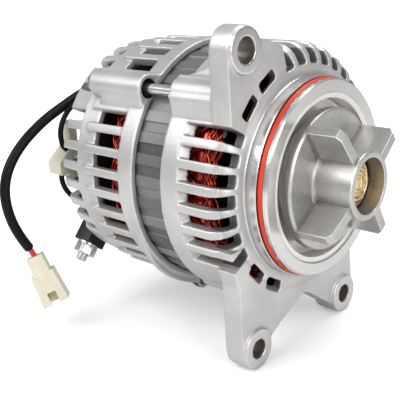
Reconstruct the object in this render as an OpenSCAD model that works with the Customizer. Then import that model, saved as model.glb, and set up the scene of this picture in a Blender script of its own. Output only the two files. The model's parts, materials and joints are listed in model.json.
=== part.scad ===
// Flange mounted, coupler driven motorcycle alternator.
// The shaft runs along X and the drive end faces +X.
// The origin lies on the shaft axis in the plane of the machined ear faces, +Z is up.
// Inside the modules X counts from the front face of the locating spigot, and the
// assembly lines move every sub-part so that the ear faces come to X = 0.

/* [Housings] */
// Outer radius of both end housings
body_r = 60; // [54:0.5:70]
// Wall thickness of the end housings
wall = 5; // [3:0.5:8]
// Distance from the spigot face back to the rear edge of the drive end housing
front_len = 46; // [40:1:60]
// Width of stator core left showing between the two housings
stator_show = 18; // [12:1:30]
// Depth of the stator register in each housing
register_d = 6; // [3:0.5:8]
// Depth from the front edge of the slip ring end housing to its fin tips
rear_len = 54; // [50:1:64]
// Length of the cooling fins on the rear shoulder
fin_len = 15; // [10:1:20]
// Height of the raised bars above the rear cage
bar_rise = 1.8; // [0.6:0.1:2.4]
// Angle between neighbouring openings
pitch_a = 10; // [9:0.5:12]
// Width of an opening in the rear cage
window_w = 6.2; // [4:0.2:7]
// Width of a slot in the drive end housing
slot_w = 5.7; // [4:0.1:6.5]

/* [Spigot and ears] */
// Radius of the locating land
spigot_r = 45.5; // [40:0.5:50]
// Length of the spigot ahead of the flange
spigot_len = 11; // [8:0.5:16]
// Radial step from the land to the front lip
lip_step = 1.05; // [0.5:0.05:2]
// Bore radius of the recess round the coupler
recess_r = 36; // [34:0.5:38]
// Depth of the recess
recess_d = 9; // [8:0.5:10]
// Thickness of the flange and of the ears
ear_t = 10; // [8:0.5:14]
// Height of the machined ear faces above the flange
ear_face = 1.5; // [0.5:0.1:2.5]
// Top ear hole position across the engine
ear_top_y = -41; // [-46:0.5:-36]
// Top ear hole height
ear_top_z = 62.5; // [60:0.5:70]
// Top ear hole radius
ear_top_hole = 5.4; // [4:0.1:6]
// Near lower ear hole position across the engine
ear_near_y = -41.5; // [-46:0.5:-36]
// Far lower ear hole position across the engine
ear_far_y = 28; // [22:0.5:34]
// Drop of both lower ear holes below the shaft axis
ear_drop = 70; // [66:0.5:76]
// Lower ear hole radius
ear_low_hole = 4.5; // [3.5:0.1:5]

/* [Through bolts] */
// Pitch radius of the three through bolts
bolt_pr = 61.5; // [60:0.5:64]
// Through bolt shank radius
bolt_r = 2.4; // [2:0.1:3]
// Radius of the bolt bosses
boss_r = 6.5; // [5.5:0.1:8]
// Radius of the small boss at the bottom
low_boss_r = 4.8; // [4.4:0.1:5.5]

/* [Stator] */
// Wall of the housings outside the stator register
lip_w = 3; // [2:0.5:5]
// Radial depth of the stator core
core_w = 12; // [10:0.5:14]
// Air gap between rotor and stator
air_gap = 0.4; // [0.3:0.05:0.8]
// Number of stator slots
slot_n = 36; // [36:6:48]
// Overhang of the winding in front of the core
wind_front = 19; // [14:0.5:21]
// Overhang of the winding behind the core
wind_rear = 16; // [8:0.5:18]

/* [Rotor] */
// Number of claws on each pole piece
claw_n = 6; // [6:1:8]
// Length of the pair of pole pieces
pole_len = 36; // [30:1:40]
// Shaft radius in the front bearing and the coupler
shaft_r = 8.5; // [7:0.5:10]
// Shaft radius in the rear bearing
tail_r = 7.5; // [6:0.5:8]
// Slip ring radius
ring_r = 12.5; // [11:0.5:14]
// Slip ring width
ring_w = 5; // [4:0.5:6]

/* [Drive coupler] */
// Radius of the coupler disc and of its blades
disc_r = 32; // [28:0.5:34]
// Stand out of the disc face ahead of the spigot face
disc_out = 2.7; // [1:0.1:5]
// Thickness of the coupler disc
disc_t = 5.5; // [4:0.5:8]
// Stand out of the hub face ahead of the spigot face
hub_out = 21.6; // [18:0.1:26]
// Outer radius of the coupler hub
hub_r = 15.3; // [14:0.1:18]
// Socket radius in the coupler hub
hub_bore = 12.6; // [11.5:0.1:13]
// Distance from the spigot face to the floor of the socket
socket_x = 4; // [2:0.5:8]
// Radius of the thread at the shaft end
thread_r = 6; // [5:0.5:7]
// Thickness of the coupler blades
blade_t = 4.6; // [3:0.2:7]
// Turn of the blades about the shaft
blade_a = 11.75; // [0:0.25:45]

/* [Output terminal and leads] */
// Height of the insulator above the body
term_rise = 0.5; // [0:0.5:4]
// Thread radius of the output stud
stud_r = 3; // [2.5:0.5:4]
// Direction of the output stud below the near side
stud_a = -47.5; // [-70:0.5:-20]
// Diameter of the sleeved main lead
lead_d = 5; // [4:0.2:6]
// Diameter of the sense lead
thin_d = 2.7; // [2:0.1:3]

/* [Hidden] */
$fn = 96;
e = 0.01;
fit = 0.05;
seat = 0.3;
x_flange = -spigot_len;
x_fe = -front_len;
core_r = body_r - lip_w;
rotor_r = core_r - core_w - air_gap;
x_re = x_fe - stator_show;
x_end = x_re - rear_len;
x_fin = x_end + fin_len;
x_step = x_fin + 5;
x_core0 = x_fe + register_d;
x_core1 = x_re - register_d;
x_mid = (x_core0 + x_core1) / 2;
core_len = x_core0 - x_core1;
stator_in = rotor_r + air_gap;
cage_r = body_r - bar_rise;
bar_r = body_r - 0.2;
shoulder = 11;
x_wall = x_flange - wall;
plate_out = x_end + 2;
plate_in = plate_out + wall;
// front bearing, size 17 x 47 x 14
bf_out = 23.5;
bf_w = 14;
x_bf = -recess_d - 4;
// rear bearing, size 15 x 35 x 11
br_out = 17.5;
br_w = 11;
x_br = plate_out;
// two long bolts, and a short one at the bottom
long_bolts = [45, 165];
low_bolt = 285;
bolt_angles = [45, 165, 285];
x_low_head = x_re - 4.5;
near_slots = [for (k = [-3:3]) 2 + k * 9.5];
far_slots = [for (k = [0:floor(135 / pitch_a)])
    if (abs(79 + k * pitch_a - long_bolts[1]) > 8) 79 + k * pitch_a];
wind_r = body_r - wall - 3;
front_slots = concat(near_slots, far_slots);
fin_gap = window_w - 0.8;
rear_n = floor(360 / pitch_a) - 1;
rear_openings = [for (k = [0:rear_n])
    if (min([for (b = long_bolts) abs(k * pitch_a - b)]) > 9) k * pitch_a];
rear_bars = [for (k = [0:rear_n])
    if (min([for (b = long_bolts) abs(k * pitch_a + pitch_a / 2 - b)]) > 12) k * pitch_a + pitch_a / 2];
// claw poles
x_p0 = x_mid + pole_len / 2;
x_p1 = x_mid - pole_len / 2;
pole_t = 9;
claw_t = 6.4;
fan_t = 1.5;
fan_r = rotor_r - 1.1;
coil_r = rotor_r - claw_t - 2;
// slip rings
x_r0 = x_br + br_w + 2;
x_ra = x_r0 + 2 + ring_w / 2;
x_rb = x_ra + ring_w + 2.5;
// output terminal
x_term = x_end - 5.5;
term_r = body_r + term_rise;
stud_top = term_r + 9;
term_in = term_r - 18.5;
bus_r = body_r - 14;
// rear parts
pad_r0 = body_r - 26;
pad_r1 = body_r - 10;
plate_r = body_r - wall - 4;
neg_t = 2.5;
x_neg = plate_in + neg_t;
gap_plates = 9.5;
x_pos = x_neg + gap_plates;
// leads
grommet_y = -12;
grommet_z = body_r - 23.5;
// every part of the leads hangs on the rear face and on the grommet height
lead_shift = [x_end + 118, 0, grommet_z - 36.5];
boot_end = [-121, -17, 36.5];
nozzle_end = [-120.8, -14.5, 30.2];
nozzle_y = nozzle_end[1] + 3;
nozzle_z = nozzle_end[2] + lead_shift[2];
route_main = [[-121.1, -17.1, 36.5], [-122.5, -18.5, 36.5], [-124.4, -21.2, 36.2], [-125.8, -24.6, 35.5],
    [-126.6, -28.4, 34.6], [-127, -33, 33.3],
    [-127, -39, 31.4], [-127, -46, 29], [-127, -54, 26], [-127, -61.5, 22.4], [-127, -68.8, 18],
    [-127, -75, 13], [-127, -79.8, 7.5], [-127, -82.8, 2], [-127, -84.4, -4], [-127, -84.6, -10],
    [-127, -83.8, -16], [-127, -82, -22.5], [-127, -79, -29.5], [-127, -75.5, -36]];
route_sense_a = [[-120.9, -14.6, 30.2], [-121.7, -15.6, 30.2], [-122.3, -17.8, 30.5], [-122.6, -21, 31.2],
    [-122.6, -25.5, 32], [-122.6, -31, 32.4], [-122.6, -36, 31.8], [-122.8, -41, 30], [-122.8, -45.5, 27],
    [-122.8, -48.8, 23], [-122.8, -50.6, 18.6], [-123, -50.7, 14.4], [-123.2, -49.8, 11],
    [-123.2, -48, 8.75]];
route_sense_b = [[-124.5, -52, -3.55], [-124.5, -52.1, -6], [-124.5, -51.5, -9.2], [-124.4, -49.8, -12.9],
    [-124.3, -46.7, -17], [-124.1, -42.6, -21], [-124, -39.4, -23.9], [-123.9, -36.7, -26.2],
    [-123.8, -34.4, -28.3]];
plug_at = [-126.6, -73.2, -41];
plug_turn = [20, -10, -43];
wire_from = [-127, -75.5, -36];

alu = [0.79, 0.80, 0.81];
steel = [0.62, 0.63, 0.66];
zinc = [0.83, 0.85, 0.88];
iron = [0.46, 0.47, 0.49];
copper = [0.62, 0.09, 0.05];
black = [0.1, 0.1, 0.11];
cream = [0.93, 0.90, 0.80];
brass = [0.78, 0.62, 0.30];

// Helpers
module xr(x0, x1, r) {
    translate([min(x0, x1), 0, 0]) rotate([0, 90, 0]) cylinder(h = abs(x1 - x0), r = r);
}
module tube(x0, x1, ro, ri) {
    difference() {
        xr(x0, x1, ro);
        xr(min(x0, x1) - 1, max(x0, x1) + 1, ri);
    }
}
module rev(pts) {
    rotate([0, 90, 0]) rotate_extrude() polygon(pts);
}
// Turns children made on the near side (-Y) up by an angle about the shaft
module station(a) {
    rotate([-a, 0, 0]) children();
}
module box(x0, x1, y0, y1, z0, z1) {
    translate([min(x0, x1), min(y0, y1), min(z0, z1)]) cube([abs(x1 - x0), abs(y1 - y0), abs(z1 - z0)]);
}
// Extrudes an outline drawn as [y, z] points along X
module slab(x0, x1) {
    translate([min(x0, x1), 0, 0]) rotate([90, 0, 90]) linear_extrude(abs(x1 - x0)) children();
}
// Extrudes an outline drawn as [x, y] points along Z, centred on the shaft plane
module vane(w) {
    translate([0, 0, -w / 2]) linear_extrude(w) children();
}
module hexagon(af) {
    circle(r = af / sqrt(3), $fn = 6);
}
module rounded(w, h, r) {
    square([w, h - 2 * r], center = true);
    square([w - 2 * r, h], center = true);
    for (u = [-1, 1]) for (v = [-1, 1]) translate([u * (w / 2 - r), v * (h / 2 - r)]) circle(r = r, $fn = 24);
}

// Cord sweep
function unit(v) = v / norm(v);
function tangent(p, i) = unit(p[min(i + 1, len(p) - 1)] - p[max(i - 1, 0)]);
function ring(p, i, r, n) = let (t = tangent(p, i), a = unit(cross(t, [1, 0.12, 0])), b = cross(t, a))
    [for (k = [0:n - 1]) p[i] + r * (cos(360 * k / n) * a + sin(360 * k / n) * b)];
module cord(p, r, n) {
    m = len(p);
    polyhedron(
        points = [for (i = [0:m - 1]) for (q = ring(p, i, r, n)) q],
        faces = concat(
            [[for (k = [0:n - 1]) k]],
            [for (i = [0:m - 2]) for (k = [0:n - 1])
                [i * n + k, (i + 1) * n + k, (i + 1) * n + (k + 1) % n]],
            [for (i = [0:m - 2]) for (k = [0:n - 1])
                [i * n + k, (i + 1) * n + (k + 1) % n, i * n + (k + 1) % n]],
            [[for (k = [n - 1:-1:0]) (m - 1) * n + k]]));
}

// Flange outlines, drawn as [y, z]
module top_flange() {
    translate([ear_top_y, ear_top_z]) circle(r = 10.2);
    polygon([[ear_top_y - 10.2, 28], [ear_top_y - 10.2, ear_top_z], [ear_top_y, ear_top_z],
        [ear_top_y + 4.5, ear_top_z + 9.1], [-31, 66], [-22, 63.6], [-15.2, 60.6], [-11.6, 46.6], [-34, 34],
        [-44, 26]]);
}
module low_flange() {
    near = [ear_near_y, -ear_drop];
    far = [ear_far_y, -ear_drop];
    translate(near) circle(r = 9.5);
    translate(far) circle(r = 9.5);
    polygon([[-55.5, -20], [-53.5, -30], [near[0] - 9.5, -38], [near[0] - 9.5, -ear_drop], near,
        [near[0] + 9, -ear_drop - 3], [near[0] + 12, -ear_drop + 2], [-10.5, -59], [-7, -57.6], [-3.5, -57.4],
        [0, -59], [far[0] - 9, -ear_drop - 3], far, [far[0] + 9.5, -ear_drop], [far[0] + 8, -48],
        [far[0] + 10, -44], [far[0] + 17, -38], [30, -30], [0, -40], [-40, -20]]);
}

// Drive end housing
module shell_profile() {
    arc = [for (a = [0:9:90])
        [body_r - shoulder + shoulder * cos(a), x_flange - shoulder + shoulder * sin(a)]];
    inner = [for (a = [90:-15:0])
        [body_r - shoulder + (shoulder - wall) * cos(a), x_flange - shoulder + (shoulder - wall) * sin(a)]];
    polygon(concat([[core_r, x_fe], [body_r, x_fe]], arc,
        [[spigot_r, x_flange], [spigot_r, -5.05], [spigot_r - 3.6, -5.05], [spigot_r - 3.6, -2.25],
        [spigot_r - lip_step, -2.25], [spigot_r - lip_step, -0.5], [spigot_r - lip_step - 0.5, 0],
        [recess_r + 2.7, 0], [recess_r + 2.7, -0.8], [recess_r, -0.8], [recess_r, -recess_d],
        [24, -recess_d], [24, -recess_d + 2], [20, -recess_d + 2], [20, x_bf], [bf_out, x_bf],
        [bf_out, x_bf - bf_w], [28.5, x_bf - bf_w], [28.5, x_wall - 4], [31, x_wall]],
        inner, [[body_r - wall, x_core0], [core_r, x_core0]]));
}
module front_slot() {
    vane(slot_w) polygon([[x_flange - 26, -body_r - 1], [x_flange - 22, -body_r + wall + 1.5],
        [x_wall - 3, -body_r + wall + 1.5], [x_wall - 3, -spigot_r - 4.8], [x_flange + 1, -spigot_r - 4.8],
        [x_flange + 1, -body_r - 1]]);
}
module flange_window(r, t) {
    translate([x_flange + 1, -r - 0.6, 0]) rotate([0, 0, -30]) rotate([0, -90, 0]) linear_extrude(12)
        rounded(11.2, 4.6, 1.4);
    box(x_flange - t, x_flange - 15, -body_r + 4.5, -body_r + 13, -7.5, 7.5);
}
// Sloping web from the top bolt boss to the back of the ear
module ear_web() {
    x_back = x_flange - ear_t + 0.5;
    translate([0, -bolt_pr - 3.7, 0]) rotate([-90, 0, 0]) linear_extrude(8)
        polygon([[x_fe + 1, 0], [x_fe + 1, -5], [x_back, -18], [x_back, 0]]);
}
module drive_end_housing() {
    difference() {
        union() {
            difference() {
                rotate([0, 90, 0]) rotate_extrude() shell_profile();
                for (a = front_slots) station(a) front_slot();
            }
            difference() {
                union() {
                    slab(x_flange, x_flange - ear_t) top_flange();
                    slab(x_flange, x_flange - ear_t) low_flange();
                    station(long_bolts[0]) translate([0, -bolt_pr, 0])
                        xr(x_fe + 0.4, x_flange - ear_t + 1, boss_r);
                    station(long_bolts[0]) ear_web();
                    station(long_bolts[1]) translate([0, -bolt_pr, 0]) xr(x_fe + 0.4, x_fe + 20, boss_r);
                    station(low_bolt) translate([0, -bolt_pr, 0]) xr(x_fe + 0.4, x_fe + 16, low_boss_r);
                }
                xr(x_fe - 1, x_flange - shoulder, body_r - wall / 2);
                xr(x_flange - shoulder - e, x_flange + 1, body_r - shoulder / 2 - 2);
            }
            translate([0, ear_top_y, ear_top_z]) xr(x_flange - ear_t, x_flange + ear_face, 9.7);
            translate([0, ear_near_y, -ear_drop]) xr(x_flange - ear_t, x_flange + ear_face, 9.4);
            translate([0, ear_far_y, -ear_drop]) xr(x_flange - ear_t, x_flange + ear_face, 9.4);
        }
        for (a = near_slots) station(a) front_slot();
        station(45) flange_window(54.7, 4);
        station(61) flange_window(54.7, 4.5);
        station(-42) flange_window(52.5, 4);
        station(-58.5) flange_window(52.5, 4.5);
        translate([0, ear_top_y, ear_top_z]) xr(x_flange - ear_t - 1, x_flange + ear_face + 1, ear_top_hole);
        translate([0, ear_near_y, -ear_drop]) xr(x_flange - ear_t - 1, x_flange + ear_face + 1, ear_low_hole);
        translate([0, ear_far_y, -ear_drop]) xr(x_flange - ear_t - 1, x_flange + ear_face + 1, ear_low_hole);
        for (b = bolt_angles) station(b) translate([0, -bolt_pr, 0]) xr(x_fe - 1, x_fe + 16, bolt_r);
        for (a = [90, 210, 330]) station(a) translate([0, -26, 0]) xr(x_bf - bf_w - 1, x_bf - bf_w + 9, 1.5);
    }
}

// Slip ring end housing
module rear_profile() {
    polygon([[core_r, x_re], [body_r, x_re], [body_r, x_re - 9], [cage_r, x_re - 9], [cage_r, x_fin],
        [cage_r - 1.4, x_end + 2.5], [cage_r - 3.9, x_end], [body_r - 11, x_end], [body_r - 11, plate_out],
        [22, plate_out], [22, plate_out - 3], [21, plate_out - 4], [0, plate_out - 4], [0, plate_out - 0.5],
        [12, plate_out - 0.5], [12, plate_out], [br_out, plate_out], [br_out, x_br + br_w],
        [21.5, x_br + br_w], [22, plate_in], [body_r - wall - 2, plate_in],
        [body_r - wall, plate_in + 2], [body_r - wall, x_core1], [core_r, x_core1]]);
}
module rear_bar() {
    intersection() {
        union() {
            box(x_step + 2.1, x_re - 8.5, -body_r - 1, -cage_r + 1, -2.1, 2.1);
            translate([x_step + 2.1, -body_r - 1, 0]) rotate([-90, 0, 0]) cylinder(h = bar_rise + 2, r = 2.1);
        }
        xr(x_step - 1, x_re, bar_r);
    }
}
module slip_ring_end_housing() {
    difference() {
        union() {
            rotate([0, 90, 0]) rotate_extrude() rear_profile();
            for (a = rear_bars) station(a) rear_bar();
            difference() {
                union() {
                    for (b = long_bolts) station(b)
                        translate([0, -bolt_pr, 0]) xr(x_re - 0.4, x_step, boss_r);
                    station(low_bolt) translate([0, -bolt_pr, 0])
                        xr(x_re - 0.4, x_low_head - 0.6, low_boss_r);
                    station(-58) translate([0, -14, 0]) xr(x_re - 0.8, x_low_head + 0.5, body_r - 10.5);
                    for (b = long_bolts) station(b) intersection() {
                        box(x_step + 0.4, x_re - 8, -body_r - 1, -body_r + 5, -11.7, 8.5);
                        xr(x_step - 1, x_re, bar_r);
                    }
                }
                xr(x_end, x_re + 1, body_r - wall + 2);
            }
            station(stud_a) box(x_end + 0.15, plate_out + 1, -pad_r1, -pad_r0, -8, 8);
            translate([0, grommet_y, grommet_z]) xr(x_end, plate_out + 1, 8);
            translate([0, nozzle_y, nozzle_z]) xr(x_end, plate_out + 1, 5);
            box(x_end - 3.2, plate_out + 1, -body_r + 14, -body_r + 23, -4, 7);
        }
        for (a = rear_openings) station(a) {
            box(x_re - 11, x_re - 28, -body_r - 1, -body_r + wall + 2, -window_w / 2, window_w / 2);
            if (abs(a - 360 - stud_a) > 12)
                box(x_fin - 0.6, x_end - 1, -body_r - 1, -body_r + 16.5, -fin_gap / 2, fin_gap / 2);
        }
        station(low_bolt) translate([0, -bolt_pr, 0]) xr(x_low_head - 9, x_re + 1, bolt_r + 0.3);
        station(low_bolt) translate([0, -bolt_pr, 0]) xr(x_low_head - 9, x_low_head, 5.3);
        for (b = long_bolts) station(b) translate([0, -bolt_pr, 0]) {
            xr(x_step - 1, x_re + 1, bolt_r + 0.3);
            xr(x_re - 26, x_re + 1, 4.4);
            xr(x_step - 6, x_step, 5.3);
        }
        for (k = [0:7]) station(22.5 + 45 * k) for (s = [-3.6, 3.6])
            box(plate_out - 3, plate_in + 1, -32, -25.5, s - 1.9, s + 1.9);
        station(stud_a) box(x_end - 1, plate_in + 1, -bus_r - 1.5, -bus_r + 1.5, -3, 3);
        translate([0, grommet_y, grommet_z]) xr(plate_out - 3, plate_in + 1, 5);
        for (a = reg_angles) station(a) translate([0, -reg_pr, 0]) xr(plate_out - 1, plate_in + 1, 2.3);
    }
}

// Stator
module stator_core() {
    difference() {
        tube(x_core1, x_core0, core_r, stator_in);
        for (k = [0:slot_n - 1]) rotate([360 * k / slot_n, 0, 0])
            box(x_core1 - 1, x_core0 + 1, -stator_in - 6.5, -stator_in + 1, -1.6, 1.6);
        for (k = [0:11]) station(5 + 30 * k) box(x_re + 1, x_fe - 1, -core_r - 1, -core_r + 0.9, -1.4, 1.4);
        for (k = [0:2:slot_n - 1]) station(5 + 360 * k / slot_n)
            box(x_re + 0.6, x_fe - 0.6, -core_r - 1, -core_r + 0.4, -4.4, 4.4);
    }
}
module stator_winding() {
    front = [[stator_in + 1.5, x_core0], [wind_r + 0.8, x_core0], [wind_r + 1.4, x_core0 + 5],
        [wind_r, x_core0 + wind_front - 4], [wind_r - 3, x_core0 + wind_front],
        [stator_in + 3.2, x_core0 + wind_front], [stator_in + 1.8, x_core0 + wind_front - 3]];
    rear = [[stator_in + 1.5, x_core1], [stator_in + 1.8, x_core1 - wind_rear + 2.5],
        [stator_in + 3.2, x_core1 - wind_rear], [wind_r - 3, x_core1 - wind_rear],
        [wind_r, x_core1 - wind_rear + 3], [wind_r + 1, x_core1 - 3], [wind_r + 0.8, x_core1]];
    union() {
        rev(front);
        rev(rear);
        for (k = [0:slot_n - 1]) rotate([360 * k / slot_n, 0, 0])
            box(x_core1 - 1, x_core0 + 1, -stator_in - 6, -stator_in - 1.8, -1.3, 1.3);
    }
}

// Seals, bolts and bearings
module spigot_seal_ring() {
    rotate([0, 90, 0]) translate([0, 0, -3.65])
        rotate_extrude() translate([spigot_r - 1.85, 0]) scale(1) circle(r = 1.35, $fn = 32);
    rev([[spigot_r - 3.6, -4.6], [spigot_r - 3.6, -2.7], [spigot_r - 2, -2.5], [spigot_r - 2, -4.8]]);
}
module through_bolts() {
    for (b = bolt_angles) station(b) translate([0, -bolt_pr, 0]) {
        head = b == low_bolt ? x_low_head : x_step;
        xr(head, x_fe + 14, bolt_r);
        slab(head, head - 3.5) hexagon(8);
        xr(head, head - 0.8, b == low_bolt ? 4.4 : 5);
    }
}
module ball_set(x0, x1, r, n, d) {
    m = (x0 + x1) / 2;
    for (k = [0:n - 1]) rotate([360 * k / n, 0, 0]) translate([m, -r, 0]) sphere(r = d, $fn = 32);
    difference() {
        tube(m - d * 0.6, m + d * 0.6, r + 1, r - 1);
        for (k = [0:n - 1]) rotate([360 * k / n, 0, 0]) translate([m, -r, 0])
            rotate([90, 0, 0]) translate([0, 0, -3]) cylinder(h = 6, r = d + 0.25);
    }
}
pitch_f = (bf_out + shaft_r) / 2;
pitch_r = (br_out + tail_r) / 2;
module bearing_ring(x0, x1, ra, rb, pr, br) {
    m = (x0 + x1) / 2;
    difference() {
        tube(x0, x1, max(ra, rb), min(ra, rb));
        translate([m, 0, 0]) rotate([0, 90, 0]) rotate_extrude()
            translate([pr, 0]) circle(r = br + fit, $fn = 32);
    }
}
module front_bearing_outer() {
    bearing_ring(x_bf - bf_w, x_bf, bf_out, pitch_f + 2.6, pitch_f, 4.4);
}
module front_bearing_inner() {
    bearing_ring(x_bf - bf_w, x_bf, shaft_r, pitch_f - 2.6, pitch_f, 4.4);
}
module front_bearing_balls() {
    ball_set(x_bf - bf_w, x_bf, pitch_f, 8, 4.4);
}
module rear_bearing_outer() {
    bearing_ring(x_br, x_br + br_w, br_out, pitch_r + 2, pitch_r, 3);
}
module rear_bearing_inner() {
    bearing_ring(x_br, x_br + br_w, tail_r, pitch_r - 2, pitch_r, 3);
}
module rear_bearing_balls() {
    ball_set(x_br, x_br + br_w, pitch_r, 8, 3);
}
module bearing_retainer() {
    difference() {
        tube(x_bf - bf_w - 1.6, x_bf - bf_w, 28.5, bf_out - 3.5);
        for (a = [90, 210, 330]) station(a) translate([0, -26, 0]) xr(x_bf - bf_w - 3, x_bf - bf_w + 1, 1.7);
    }
}
module retainer_screws() {
    for (a = [90, 210, 330]) station(a) translate([0, -26, 0]) {
        xr(x_bf - bf_w + 7, x_bf - bf_w - 1.6, 1.5);
        xr(x_bf - bf_w - 1.6, x_bf - bf_w - 2.6, 2.4);
    }
}
module oil_seal() {
    rev([[20, x_bf + 0.5], [20, -recess_d + 1.5], [14.5, -recess_d + 1.5], [13.4, -recess_d + 0.5],
        [13 + fit, -recess_d - 0.6], [13.9, -recess_d - 1.4], [17, -recess_d - 0.6], [17, x_bf + 0.5]]);
}

// Rotor
module rotor_shaft() {
    difference() {
        rev([[0, x_br + 0.5], [tail_r - 0.6, x_br + 0.5], [tail_r, x_br + 1.1], [tail_r, x_r0 - 2],
            [9, x_r0 - 2], [9, x_bf - bf_w - 6], [10.5, x_bf - bf_w - 6], [10.5, x_bf - bf_w],
            [shaft_r, x_bf - bf_w], [shaft_r, socket_x - 1.2], [thread_r, socket_x - 0.2],
            [thread_r, socket_x + 7.7],
            [thread_r - 0.8, socket_x + 8.5], [0, socket_x + 8.5]]);
        xr(socket_x + 4, socket_x + 10, 2.4);
    }
}
module claw_half(x_out, s, a0) {
    x_in = x_out + s * pole_t;
    x_tip = x_out + s * (pole_len - 2.5);
    difference() {
        union() {
            difference() {
                intersection() {
                    xr(x_out, x_tip, rotor_r);
                    for (k = [0:claw_n - 1]) rotate([a0 + 360 * k / claw_n - 90, 0, 0])
                        translate([0, 0, 24]) linear_extrude(rotor_r - 20)
                            polygon([[x_out - s, -13], [x_out - s, 13], [x_tip + s, 6], [x_tip + s, -6]]);
                }
                xr(x_in, x_tip + 2 * s, rotor_r - claw_t);
            }
            xr(x_out + s * 0.2, x_in - s * 0.2, rotor_r - 12.6);
            xr(x_out + s, x_mid, 16);
        }
        xr(x_out - s, x_mid + s, 9);
    }
}
module front_claw_pole() {
    claw_half(x_p0, -1, 15);
}
module rear_claw_pole() {
    claw_half(x_p1, 1, 45);
}
module field_bobbin() {
    rim = coil_r + 0.4;
    rev([[16, x_p0 - pole_t], [rim, x_p0 - pole_t], [rim, x_p0 - pole_t - 1], [17.2, x_p0 - pole_t - 1],
        [17.2, x_p1 + pole_t + 1], [rim, x_p1 + pole_t + 1], [rim, x_p1 + pole_t], [16, x_p1 + pole_t]]);
}
module field_coil() {
    tube(x_p1 + pole_t + 1, x_p0 - pole_t - 1, coil_r, 17.2);
}
module fan(x, s, n, turn, tip) {
    tube(x, x + s * fan_t, fan_r - 8, 10.5);
    for (k = [0:n - 1]) rotate([turn + 360 * k / n, 0, 0]) {
        box(x, x + s * fan_t, -fan_r + 6, -fan_r + 13.5, -7, 7);
        translate([0, -fan_r + 7, 0]) rotate([28, 0, 0]) box(x, x + s * tip, -6, 6, -0.8, 0.8);
    }
}
module front_fan() {
    fan(x_p0, 1, 11, 0, 16.5);
}
module rear_fan() {
    fan(x_p1, -1, 10, 8, 10.5);
}
module slip_ring_core() {
    tube(x_r0 - 1, x_rb + ring_w / 2 + 2, ring_r - 2, 9);
    for (x = [x_r0, (x_ra + x_rb) / 2 - 1, x_rb + ring_w / 2 + 0.2])
        tube(x, x + 1.8, ring_r + 1, ring_r - 2);
}
module slip_rings() {
    for (x = [x_ra, x_rb]) tube(x - ring_w / 2 + 0.2, x + ring_w / 2 - 0.2, ring_r, ring_r - 2);
}
module coupler_blade() {
    linear_shape = [[disc_out - 1, -hub_r + 1], [disc_out - 1, -disc_r], [hub_out - 4.6, -disc_r],
        [hub_out - 2.4, -disc_r + 2.4], [hub_out - 1.4, -hub_r + 1]];
    vane(blade_t) polygon(linear_shape);
}
module drive_coupler() {
    difference() {
        union() {
            rev([[0, x_bf], [13, x_bf], [13, disc_out - disc_t], [disc_r - 1, disc_out - disc_t],
                [disc_r, disc_out - disc_t + 1], [disc_r, disc_out - 0.8], [disc_r - 0.8, disc_out],
                [hub_r + 1.4, disc_out], [hub_r + 0.4, disc_out + 0.5], [hub_r, disc_out + 1.5],
                [hub_r, hub_out - 0.6], [hub_r - 0.6, hub_out], [0, hub_out]]);
            for (k = [0:3]) station(blade_a + 45 + 90 * k) coupler_blade();
        }
        xr(x_bf - 1, socket_x + 1, shaft_r);
        xr(socket_x, hub_out + 1, hub_bore);
    }
}
module coupler_washer() {
    tube(socket_x, socket_x + 1.6, hub_bore - 0.6, thread_r + 1);
}
module coupler_nut() {
    difference() {
        union() {
            xr(socket_x + 1.6, socket_x + 3, 10.8);
            slab(socket_x + 3, socket_x + 9.2) hexagon(16);
        }
        xr(socket_x, socket_x + 10, thread_r);
    }
}

// Brush gear, below the slip rings
brush_len = 13;
brush_y = 5;
brush_x = 4;
holder_z = -ring_r - 25;
module brush_holder() {
    difference() {
        box(x_ra - 4.2, x_rb + 4.2, -6, 6, -ring_r - 4, holder_z);
        for (x = [x_ra, x_rb])
            box(x - brush_x / 2 - fit, x + brush_x / 2 + fit, -brush_y / 2 - fit, brush_y / 2 + fit,
                -ring_r, holder_z + 1.5);
    }
    difference() {
        box(plate_in + reg_t, x_ra - 4.2, -10, 10, -ring_r - 11.5, holder_z);
        xr(plate_in, x_ra, ring_r + 4);
    }
}
module brush(x) {
    difference() {
        box(x - brush_x / 2, x + brush_x / 2, -brush_y / 2, brush_y / 2, -ring_r + 0.6, -ring_r - brush_len);
        xr(x - 5, x + 5, ring_r + fit);
    }
}
module inner_brush() {
    brush(x_rb);
}
module outer_brush() {
    brush(x_ra);
}
spring_top = -ring_r - brush_len;
spring_bot = holder_z + 1.5;
module brush_spring(x) {
    turns = 6;
    n = 10;
    wire = 0.3;
    h = spring_top - spring_bot;
    path = [for (i = [0:turns * n]) [1.4 * cos(360 * i / n), 1.4 * sin(360 * i / n),
        wire + (h - 2 * wire) * i / (turns * n)]];
    function sring(i) = let (a = 360 * i / n) [for (k = [0:5])
        [(1.4 + wire * cos(60 * k)) * cos(a), (1.4 + wire * cos(60 * k)) * sin(a),
        path[i][2] + wire * sin(60 * k)]];
    m = len(path);
    translate([x, 0, spring_bot]) polyhedron(
        points = [for (i = [0:m - 1]) for (q = sring(i)) q],
        faces = concat([[5, 4, 3, 2, 1, 0]],
            [for (i = [0:m - 2]) for (k = [0:5]) [i * 6 + k, i * 6 + (k + 1) % 6, (i + 1) * 6 + (k + 1) % 6]],
            [for (i = [0:m - 2]) for (k = [0:5]) [i * 6 + k, (i + 1) * 6 + (k + 1) % 6, (i + 1) * 6 + k]],
            [[for (k = [0:5]) (m - 1) * 6 + k]]));
}
module inner_brush_spring() {
    brush_spring(x_rb);
}
module outer_brush_spring() {
    brush_spring(x_ra);
}

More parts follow.
